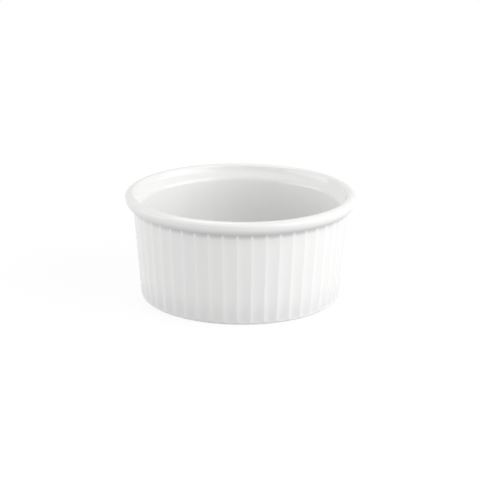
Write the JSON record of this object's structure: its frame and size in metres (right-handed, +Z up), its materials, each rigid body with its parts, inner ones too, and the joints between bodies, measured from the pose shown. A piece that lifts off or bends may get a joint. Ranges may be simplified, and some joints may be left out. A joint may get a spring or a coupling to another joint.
{
  "type": "fluted ramekin",
  "caption": "Round porcelain baking dish with a fluted outside wall, a rolled rim bead, a stepped rim inside, a smooth bowl and a recessed foot.",
  "frame": {"origin": "centre of the foot ring on the surface that the dish stands on", "axes": "+Z up along the axis of the dish; -Y faces the viewer of the picture and +X is to its right"},
  "size_m": [0.092, 0.092, 0.0427],
  "materials": {
    "white_glaze": "glossy clear glaze over white porcelain; the narrow foot ring is bare and satin"
  },
  "bodies": {
    "root": {"dish": "white_glaze"}
  },
  "joints": []
}
